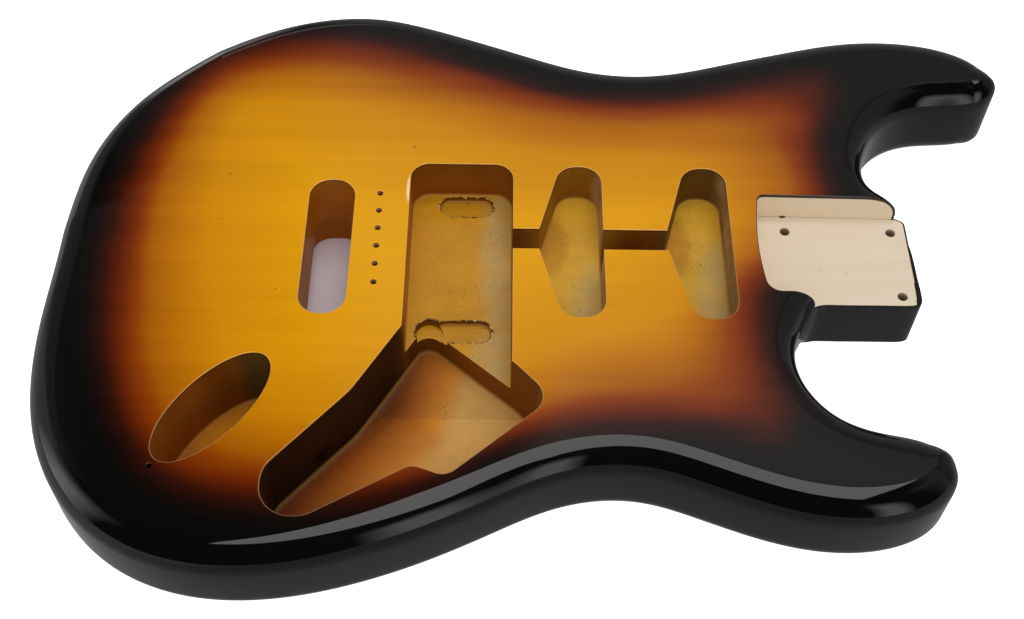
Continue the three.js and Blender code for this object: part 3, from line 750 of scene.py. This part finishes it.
def blank_body():
    """Rings at inset r(1 - cos a) and heights back + r(1 - sin a) or top - r(1 - sin a), a in steps to 90
    degrees, and one more at 1.05 r on the flat, so that shading turns flat within a narrow even strip. The lids
    have points along the edges of both contours."""
    shifts = [*quarter, (1.05, 0.0)]
    rings = [set_in(back_radii * inset, back_height, back_radii * drop) for inset, drop in shifts[::-1]]
    rings += [set_in(top_radii * inset, top_height, -top_radii * drop) for inset, drop in shifts]
    turn = np.radians(np.arange(-100, 100, 1.5))
    rim = np.array(forearm_axis) + forearm_radius * np.column_stack([np.cos(turn), np.sin(turn)])
    side = np.arange(-drum_radius / 2, drum_radius / 2, 3.0)
    crease = drum_run_out + (drum_radius - np.sqrt(drum_radius**2 - side**2)) / math.sin(drum_tilt)
    bottom = lid(rings[0][:, :2], 5.0, np.column_stack([drum_x + side, crease]))
    top = lid(rings[-1][:, :2], 3.0, rim)
    points, sides, lids = stack(rings, (back_height, *bottom), (top_height, *top))
    return mesh_object("body", points, [(sides, LACQUER), (lids[0], LACQUER), (lids[1], LACQUER)])


body = blank_body()
print("blank:", len(body.data.vertices), "points,", len(body.data.polygons), "faces")

# %% [markdown]
# ## Cutters
# Each rout is a loop with round corners, raised through a list of set-outs and heights: a small fillet at its
# floor, an upright wall, and a mouth that rolls outwards where the lacquer is thick.

# %%
def rounded_loop(corners, step=0.8):
    """Straight sides joined by arcs, for corners (x, y, radius): each arc's centre lies on the corner's
    bisector at r / sin(h), h being half its angle, and it meets the sides at r / tan(h) from the corner."""
    corners = [np.array(c, float) for c in corners]
    points = []
    for before, here, after in zip([corners[-1], *corners[:-1]], corners, [*corners[1:], corners[0]]):
        back, ahead = before[:2] - here[:2], after[:2] - here[:2]
        back, ahead = back / np.linalg.norm(back), ahead / np.linalg.norm(ahead)
        half = math.acos(np.clip(back @ ahead, -1, 1)) / 2
        bisector = (back + ahead) / np.linalg.norm(back + ahead)
        centre = here[:2] + bisector * here[2] / math.sin(half)
        start = here[:2] + back * here[2] / math.tan(half) - centre
        sweep = math.pi - 2 * half
        if back[0] * ahead[1] - back[1] * ahead[0] > 0:
            sweep = -sweep
        count = max(3, math.ceil(abs(sweep) * here[2] / step))
        angle = math.atan2(start[1], start[0]) + sweep * np.arange(count + 1) / count
        points.append(centre + here[2] * np.column_stack([np.cos(angle), np.sin(angle)]))
    return np.vstack(points)


def box_loop(left, right, low, high, radius, left_radius=None):
    """Rectangle with round corners, those on the left with a radius of their own where it is given."""
    left_radius = left_radius or radius
    return rounded_loop([(right, high, radius), (left, high, left_radius), (left, low, left_radius),
                         (right, low, radius)])


def oval(x, y, length, width, sides, turn=0.0):
    """Ellipse (l/2 cos t, w/2 sin t), turned and put at (x, y)."""
    t = 2 * math.pi * np.arange(sides) / sides
    p = np.column_stack([length / 2 * np.cos(t), width / 2 * np.sin(t)])
    c, s = math.cos(turn), math.sin(turn)
    return p @ np.array([[c, s], [-s, c]]) + (x, y)


def set_out(loop, profile):
    """Level rings, one for each step of a profile that starts (set-out, height)."""
    normal = outward_normals(loop)
    return [np.column_stack([loop + normal * out, np.full(len(loop), z)]) for out, z, *_ in profile]


def raised(name, rings, numbers, spacing=None):
    """Closed piece from level rings, lowest first, with flat lids. numbers holds each ring's material slot, which
    the sides above it take. The lids take the first and the last."""
    n = len(rings[0])
    ends = [(lambda p, z=ring[0, 2]: np.full(len(p), z), *lid(ring[:, :2], grid))
            for ring, grid in ((rings[0], spacing), (rings[-1], None))]
    points, sides, lids = stack(rings, *ends)
    face_sets = [(lids[0], numbers[0]), (lids[1], numbers[-1])]
    face_sets += [(sides[k * n:(k + 1) * n], numbers[k]) for k in range(len(rings) - 1)]
    return mesh_object(name, points, face_sets)


def cut(loop, profile, spacing=None):
    """Takes out of the body the loop raised through profile, a list of (set-out, height, slot above it)."""
    carve(body, raised("cutter", set_out(loop, profile), [step[2] for step in profile], spacing))


def open_top(steps, out, number):
    """Profile from steps of (set-out, depth under the top, slot), which ends in a mouth at that set-out."""
    low = [(step_out, thickness - depth, slot) for step_out, depth, slot in steps]
    return [*low, (out, thickness + 0.01, number), (out, thickness + overrun, number)]


def rout_profile(floor, fillet=1.2, mouth=0.4):
    """Fillet (f sin b - f, floor + f - f cos b), upright wall, then mouth (m - m cos b, top - m + m sin b), as
    set-outs and heights. A narrow dark band runs under the mouth."""
    turns = np.radians([0, 30, 60, 90])
    low = [(fillet * (math.sin(b) - 1), thickness - floor - fillet * (1 - math.cos(b)), SEALED) for b in turns]
    high = [(mouth * (1 - math.cos(b)), mouth * (1 - math.sin(b)), RIM) for b in turns[:-1]]
    return open_top([*low, (0, mouth + 0.6, DARK), *high], mouth, RIM)


def hole(x, y, radius, bottom, top, number=SEALED):
    cut(oval(x, y, 2 * radius, 2 * radius, 32), [(0, bottom, number), (0, top, number)])


def heel_block(name, profile, number):
    """The heel's squared bass corner: a rounded prism that reaches past the outline's curve, raised through a
    list of set-outs and heights."""
    inner, end = pocket_wall + 37.9, heel_end - 0.9
    loop = rounded_loop([(inner, 28.4, 2.5), (inner, -12.7, 2.5), (end, -12.7, 2.5), (end, 26.2, 3.5),
                         (end - 4.4, 28.4, 3)], 0.4)
    return raised(name, set_out(loop, profile), [number] * len(profile))


def masked_recess(loop, depth):
    """Takes a film of that depth off the pocket's floor and walls, but only inside the blank set in by a margin,
    which leaves the lacquered edge standing round the bare wood. The margin widens along the heel's end."""
    at_end = smoothstep(outline[:, 0], heel_end - 3, heel_end - 1.2)
    margin = 1.1 + 1.5 * at_end * np.clip((14 - outline[:, 1]) / 32, 0, 1)
    radius, foot, skin = np.maximum(top_radii - margin, 0.1), 5.0, 1.5
    rings = [set_in(margin, lambda p: foot, 0 * margin)]
    rings += [set_in(margin + radius * inset, lambda p: thickness - skin, -radius * drop)
              for inset, drop in quarter]
    inner = raised("inner", rings, [BARE] * len(rings))
    carve(inner, heel_block("inner block", [(-1.1, 6), (-1.1, pocket_floor + 1)], BARE), "UNION")
    profile = [(depth, pocket_floor - depth), (depth, thickness + overrun)]
    film = raised("film", set_out(loop, profile), [BARE] * 2, 2.0)
    carve(body, carve(film, inner, "INTERSECT"))


pocket_reach = 80.8
pocket_end, end_half = pocket_wall + pocket_reach, wall_half - 0.9 * pocket_reach / pocket_length
pocket = rounded_loop([
    (pocket_wall + 1.5, wall_half, 3.5), (pocket_wall - 1.9, 0, 150), (pocket_wall + 1.5, -wall_half, 7),
    (pocket_end, -end_half, 2.5), (pocket_end, end_half, 2.5),
])
carve(body, heel_block("block", [
    (-0.6, 0), (-0.2, 0.2), (0, 0.6), (0, pocket_floor - 0.6), (-0.2, pocket_floor - 0.2), (-0.6, pocket_floor),
], LACQUER), "UNION")
cut(pocket, open_top([(0, pocket_depth, DARK), (0, 0.5, DARK), (0.15, 0.15, DARK)], 0.5, DARK))
masked_recess(pocket, 0.05)
for x in (pocket_wall + 16.1, pocket_wall + pocket_length - 8.9):
    for y in (-19.05, 19.05):
        hole(x, y, 2.4, -overrun, pocket_floor + 1, BARE)
for index in range(6):
    cut(oval(screws_x, 10.5 * (index - 2.5), 2.8, 2.8, 24), open_top([
        (-0.3, 20, SEALED), (-0.15, 1.6, BARE), (-0.12, 1.3, SEALED), (0, 0.35, RIM)], 0.3, RIM))
print("pocket and screw holes cut:", len(body.data.polygons), "faces")

# %%
block_right, block_left = screws_x - 11.8, screws_x - 11.8 - 21.4
bass_end, treble_end = 78.3 / 2 - 4.9, -78.3 / 2 - 4.9
spring_top, spring_half, relief = 16, 28.5, 3.2
cut(box_loop(block_left, block_right, treble_end, bass_end, 10), [(0, -overrun, SEALED), *rout_profile(0)[4:]])
for loop in (box_loop(block_left - relief, block_right, treble_end, bass_end, 10),
             box_loop(block_right - 10.7, block_right + 88, -spring_half, spring_half, 9, 4.5)):
    cut(loop, [(0, -overrun, SEALED), (0, spring_top, SEALED)])
cut(box_loop(bridge_start, bridge_end, -75, 45.4, 9), rout_profile(pickup_floor), spacing=6)
for end in (middle_end, neck_end):
    cut(rounded_loop([(end, 44.5, 9.8), (end - 19.4, 44.5, 9.8), (end - 29.6, 6.2, 2), (end - 29.6, -6.2, 2),
                      (end - 19.4, -44.5, 9.8), (end, -44.5, 9.8)]), rout_profile(pickup_floor), spacing=6)
cut(box_loop(bridge_end - 5, neck_end - 24.6, -5.85, 5.85, 0.6), rout_profile(thickness - 19, 0.4))
for y in (-slot_across, slot_across):
    cut(box_loop(slot_start, slot_end, y - slot_width / 2, y + slot_width / 2, 5.5), [
        (-0.8, pickup_floor - 3, SEALED), (0, pickup_floor - 2, SEALED), (0, pickup_floor + 3, SEALED)])
hole(*lead_hole, lead_radius, pickup_floor - 4.2, pickup_floor + 3)
print("bridge, pickup and tremolo routs cut:", len(body.data.polygons), "faces")

# %%
control_shares = [
    (0.05, -0.108, 7), (-0.0135, -0.264, 40), (-0.0865, -0.384, 14), (-0.0865, -0.4515, 14), (-0.045, -0.4515, 14),
    (0.0465, -0.376, 8), (0.078, -0.3925, 8), (0.1745, -0.2715, 10), (0.141, -0.219, 40),
]
control_corners = [(screws_x + a * body_length, b * body_width, r) for a, b, r in control_shares]
cut(rounded_loop(control_corners), rout_profile(control_floor, 2.0), spacing=5)
jack_length, jack_width, jack_turn = 65.4, 29, math.radians(52.7)
cut(oval(*jack, jack_length, jack_width, 120, jack_turn), rout_profile(thickness - 37, 1.5), spacing=5)
jack_along = np.array([math.cos(jack_turn), math.sin(jack_turn)])
cut(oval(*(jack - (jack_length / 2 + 3.6) * jack_along), 2.5, 2.5, 32), open_top([
    (0, 12, DARK), (0, 1.2, SEALED), (0.1, 0.3, DARK)], 0.3, DARK))


def lead_way(start, end, height, radius):
    """Level round bore between two places of the plan, for the leads. Its faces look inwards, so carving with it
    takes nothing away: it only marks the walls that it crosses, and the CAD's lead way stays closed here."""
    count = 24
    ahead = (end - start) / np.linalg.norm(end - start)
    across = np.array([-ahead[1], ahead[0]])
    t = 2 * math.pi * np.arange(count) / count
    ring = radius * np.column_stack([np.cos(t)[:, None] * across, np.sin(t)])
    points = np.vstack([ring + (*place, height) for place in (start, end)])
    i = np.arange(count)
    j = (i + 1) % count
    walls = np.stack([count + i, count + j, j, i], 1)
    fan = np.stack([np.zeros(count - 2, int), i[1:-1], i[2:]], 1)
    return mesh_object("cutter", points, [(walls, SEALED), (fan, SEALED), (fan[:, ::-1] + count, SEALED)])


control_middle = np.mean([corner[:2] for corner in control_corners], axis=0)
carve(body, lead_way(jack, control_middle, height=16, radius=4))
print("control cavity and jack rout cut:", len(body.data.vertices), "points,", len(body.data.polygons), "faces")

# %% [markdown]
# ## Burst
# A level worked out at each point of the finish: 0, 1, 2 and 3 on four closed contours from the black edge to
# the amber middle, in thousandths like the outline, and between two contours by the distances to both.

# %%
burst_shares = [
    [(56.5, 50), (57.5, -50), (63.5, -130), (74, -200), (89, -270), (110, -335), (140, -385), (180, -415),
     (225, -428), (280, -432), (330, -423), (380, -402), (420, -373), (450, -347), (490, -328), (530, -315),
     (580, -310), (630, -310), (670, -319), (700, -325), (716, -300), (708, -230), (702, -160), (709, -100),
     (735, -50), (770, 0), (788, 60), (787, 110), (785, 150), (787, 200), (795, 260), (808, 310), (800, 337),
     (765, 336), (710, 315), (650, 292), (585, 283), (525, 288), (470, 312), (420, 342), (370, 373), (320, 397),
     (260, 411), (200, 404), (145, 375), (113, 335), (88, 280), (70, 200), (58.5, 120)],
    [(79, 50), (80, -30), (85, -120), (94, -200), (107, -270), (130, -330), (160, -372), (195, -392),
     (235, -400), (285, -405), (335, -400), (380, -383), (420, -355), (455, -325), (490, -305), (530, -290),
     (580, -283), (630, -285), (665, -281), (682, -250), (683, -190), (684, -130), (695, -80), (720, -40),
     (752, 10), (770, 60), (770, 110), (766, 160), (769, 220), (768, 262), (748, 284), (700, 280), (650, 268),
     (600, 262), (550, 265), (500, 280), (455, 303), (410, 330), (360, 352), (310, 372), (260, 382), (210, 376),
     (165, 355), (132, 320), (105, 260), (90, 200), (82, 130)],
    [(100, 50), (101, -30), (107, -100), (115, -170), (130, -240), (152, -300), (185, -340), (225, -362),
     (280, -368), (340, -362), (400, -340), (450, -305), (500, -273), (540, -255), (585, -245), (622, -230),
     (643, -190), (652, -140), (662, -100), (680, -55), (710, -10), (735, 50), (744, 110), (738, 160),
     (722, 200), (695, 226), (650, 232), (600, 228), (550, 229), (500, 238), (450, 256), (400, 280), (350, 302),
     (300, 327), (260, 340), (220, 337), (180, 323), (152, 300), (128, 260), (113, 200), (104, 130)],
    [(155, 50), (158, -30), (165, -100), (180, -160), (200, -220), (230, -265), (270, -290), (330, -292),
     (400, -270), (460, -225), (510, -190), (560, -165), (610, -130), (640, -80), (660, -20), (668, 60),
     (655, 125), (610, 152), (550, 155), (500, 160), (450, 180), (400, 205), (350, 226), (300, 243), (250, 257),
     (200, 262), (170, 245), (158, 200), (155, 130)],
]


def burst_level(p):
    """k + d[k] / (d[k] - d[k+1]) between contours k and k+1, d being signed distances, positive inside.
    Outside them all d[0] / 14 mm, and inside them all 3 + d[3] / 45 mm."""
    signed = []
    for shares in burst_shares:
        loop = smooth_loop(np.array(shares) * on_body, 4)
        signed.append(np.where(inside(loop, p), 1, -1) * distance(loop, p))
    level = np.where(signed[0] < 0, signed[0] / 14, 0)
    for k in range(3):
        outer, inner = signed[k], signed[k + 1]
        between = (outer >= 0) & (inner < 0)
        level = np.where(between, k + outer / np.maximum(outer - inner, 1e-6), level)
    return np.where(signed[3] >= 0, 3 + signed[3] / 45, level)


def set_levels(mesh, points, board):
    """Keeps the burst level and the board's shift of grain at each point of the mesh."""
    level = burst_level(points[:, :2].astype(float))
    for name, values in (("burst", level), ("board", np.full(len(level), board))):
        mesh.attributes.new(name, "FLOAT", "POINT").data.foreach_set("value", values.astype(np.float32))


print("burst contours:", len(burst_shares))

# %% [markdown]
# ## Boards
# The body is cut along its two glue lines, so each board is a closed piece that touches the next.

# %%
def read(items, name, width=1, kind=np.int32):
    """One value, or a row of them, from each vertex, corner, edge or face of a mesh."""
    found = np.zeros(len(items) * width, kind)
    items.foreach_get(name, found)
    return found.reshape(-1, width) if width > 1 else found


def part_materials(mesh):
    """Marks as sharp every edge whose faces differ in material, so that a lip doesn't bend the flat's shading. The
    upright walls of the routs count as a material of their own."""
    number = read(mesh.polygons, "material_index")
    upright = np.abs(read(mesh.polygons, "normal", 3, np.float32)[:, 2]) < 0.01
    number = np.repeat(number + len(slots) * (upright & (number == SEALED)), read(mesh.polygons, "loop_total"))
    edge = read(mesh.loops, "edge_index")
    least, most = np.full(len(mesh.edges), 2 * len(slots)), np.full(len(mesh.edges), -1)
    np.minimum.at(least, edge, number)
    np.maximum.at(most, edge, number)
    mesh.edges.foreach_set("use_edge_sharp", read(mesh.edges, "use_edge_sharp", kind=bool) | (least < most))


def board_piece(name, node, low, high):
    """The body between two glue lines, moved to the row frame, in metres, and held inside the CAD's box."""
    piece = placed(name, body.data.copy())
    tail, neck = -overrun, body_length + overrun
    corners = ((tail, low), (neck, low), (neck, high), (tail, high))
    box = np.array([(x, y, z) for z in (-overrun, thickness + overrun) for x, y in corners])
    faces = np.array([(0, 3, 2, 1), (4, 5, 6, 7), (0, 1, 5, 4), (1, 2, 6, 5), (2, 3, 7, 6), (3, 0, 4, 7)])
    carve(piece, mesh_object("cutter", box, [(faces, BARE)]), "INTERSECT")
    mesh = piece.data
    points = read(mesh.vertices, "co", 3, np.float32)
    set_levels(mesh, points, board_shifts[node])
    low_corner, high_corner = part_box(node)
    points = np.clip((points - (*middle, 0)) / 1000, np.array(low_corner), np.array(high_corner))
    mesh.vertices.foreach_set("co", points.astype(np.float32).ravel())
    mesh.update()
    mesh.polygons.foreach_set("use_smooth", np.ones(len(mesh.polygons), bool))
    mesh.set_sharp_from_angle(angle=sharp_angle)
    part_materials(mesh)
    mesh.name = name
    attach(piece, "root")
    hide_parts(node)
    return piece


sharp_angle = math.radians(32)
boards = [
    board_piece("treble_board_finished", "treble_board", -body_width, glue_lines[0]),
    board_piece("centre_board_finished", "centre_board", *glue_lines),
    board_piece("bass_board_finished", "bass_board", glue_lines[1], body_width),
]
bpy.data.objects.remove(body)
for piece in boards:
    print(piece.name, len(piece.data.vertices), "points,", len(piece.data.polygons), "faces")

# %% [markdown]
# ## Stage and light
# A pale floor, a room with pale patches, whose reflections lie along the rounded edge, and one soft light.

# %%
def even(value):
    """Linear colour with the same value in red, green and blue."""
    return (value, value, value, 1)


def stage_floor():
    """White to the camera, but plain under the block hole, which the camera looks through. To reflections a row
    of greys along x, and clear from below."""
    made, n = material("floor")
    place = n.split(n.place())
    path = n.new("ShaderNodeLightPath").outputs
    beside = n.math("ADD", n.span(n.math("ABSOLUTE", n.math("ADD", place["X"], 0.105)), 0.018, 0.02),
                    n.span(n.math("ABSOLUTE", n.math("ADD", place["Y"], -0.01)), 0.06, 0.062), clamp=True)
    lift = n.times(path["Is Camera Ray"], beside)
    color = n.mix(beside, (0.9, 0.8, 0.86, 1), (0.82, 0.82, 0.83, 1))
    diffuse = n.new("ShaderNodeBsdfDiffuse", {"Color": color})
    glow = n.new("ShaderNodeEmission", {"Color": (1, 1, 1, 1), "Strength": lift})
    seen = n.new("ShaderNodeAddShader", {0: diffuse.outputs[0], 1: glow.outputs[0]})
    shades = n.ramp(n.span(place["X"], -0.34, 0.25), [
        (0.0, even(0.48)), (0.32, even(0.27)), (0.75, even(0.27)), (1.0, even(0.35))])
    mirrored = n.new("ShaderNodeEmission", {"Color": shades, "Strength": 1.0})
    front = n.new("ShaderNodeMixShader", {0: path["Is Glossy Ray"], 1: seen.outputs[0], 2: mirrored.outputs[0]})
    clear = n.new("ShaderNodeBsdfTransparent")
    under = n.new("ShaderNodeNewGeometry").outputs["Backfacing"]
    both = n.new("ShaderNodeMixShader", {0: under, 1: front.outputs[0], 2: clear.outputs[0]})
    half, gap = 3.0, 0.0003
    mesh = bpy.data.meshes.new("floor")
    mesh.from_pydata([(-half, -half, 0), (half, -half, 0), (half, half, 0), (-half, half, 0)], [], [(0, 1, 2, 3)])
    mesh.materials.append(finished(made, n, both))
    plane = placed("floor", mesh)
    plane.location.z = -gap


studio_patches = [
    ((-34, -30, -23, -12), (-30, -15, 20, 24), 1.5),
    ((-116, -95, -89, -68), (-25, -8, 28, 55), 1.9),
    ((-80, -72, -60, -50), (-30, -15, 38, 55), 0.47),
    ((-62, -55, -33, -27), (-5, 5, 52, 60), 0.19),
    ((-46, -41, -36, -24), (20, 26, 37, 43), 0.22),
    ((-24, -19, 0, 8), (28, 33, 38, 44), 0.4),
    ((-25, -21, -8, -1), (30, 34, 38, 42), 0.8),
    ((-62, -50, -14, 2), (30, 38, 48, 60), 0.1),
    ((-15, -8, 30, 60), (-60, -50, 57, 62), 0.26),
    ((-10, -6, 25, 45), (-60, -50, 36, 42), 0.34),
    ((0, 5, 40, 55), (48, 57, 62, 65), 0.46),
    ((35, 50, 95, 120), (-60, -50, 58, 66), 0.27),
    ((136, 145, 151, 160), (-15, -5, 35, 50), 1.5),
]


def patch(n, azimuth, elevation, sides, heights, value):
    """value between sides[1] and [2] and heights[1] and [2], in degrees, falling to 0 at [0] and [3]."""
    for way, (start, full, last, end) in ((azimuth, sides), (elevation, heights)):
        value = n.times(value, n.span(way, start, full), n.fall(way, last, end))
    return value


def room():
    """White to the camera. To diffuse rays a soft light, stronger from above and from the camera's side. To
    reflections a dark studio with pale patches, by azimuth atan2(x, y) and elevation asin(z), the first of them a
    bright low window."""
    world = bpy.data.worlds.new("room")
    world.use_nodes = True
    n = Nodes(world.node_tree)
    world.node_tree.nodes.clear()
    path = n.new("ShaderNodeLightPath").outputs
    way = n.split(n.new("ShaderNodeTexCoord").outputs["Generated"])
    azimuth, elevation = (n.math("DEGREES", angle) for angle in (
        n.math("ARCTAN2", way["X"], way["Y"]), n.math("ARCSINE", way["Z"])))
    dark = 0.03
    shine = n.most([dark, *(patch(n, azimuth, elevation, *place) for place in studio_patches)])
    front = n.times(n.math("MAXIMUM", n.times(way["Y"], -1.0), 0.0), 0.45)
    soft = n.math("ADD", n.span(way["Z"], -0.1, 0.9, 0.38, 0.7), front)
    color = n.mix(path["Is Glossy Ray"], n.gray(soft), n.gray(shine))
    color = n.mix(path["Is Camera Ray"], color, even(1.0))
    back = n.new("ShaderNodeBackground", {"Color": color, "Strength": 1.0})
    n.new("ShaderNodeOutputWorld", {"Surface": back.outputs[0]})
    bpy.context.scene.world = world


def panel(name, place, turn, tilt, width, height, radiance):
    """Rectangular light, facing down once turned about the upright axis and tilted about its own width. Its
    power is pi times its area times its radiance."""
    light = bpy.data.lights.new(name, "AREA")
    light.shape, light.size, light.size_y = "RECTANGLE", width, height
    light.energy = math.pi * width * height * radiance
    upward = Vector((0, math.sin(tilt), math.cos(tilt)))
    along = Vector((math.cos(turn), math.sin(turn), 0))
    along = (along - upward * along.dot(upward)).normalized()
    axes = Matrix((along, upward.cross(along), upward)).transposed()
    placed(name, light).matrix_world = Matrix.Translation(place) @ axes.to_4x4()


stage_floor()
room()
panel("softbox", (0.2055, 0.163, 1.997), turn=-0.233, tilt=-0.291, width=1.203, height=1.624, radiance=2.2)
bpy.context.scene.view_settings.view_transform = "Standard"
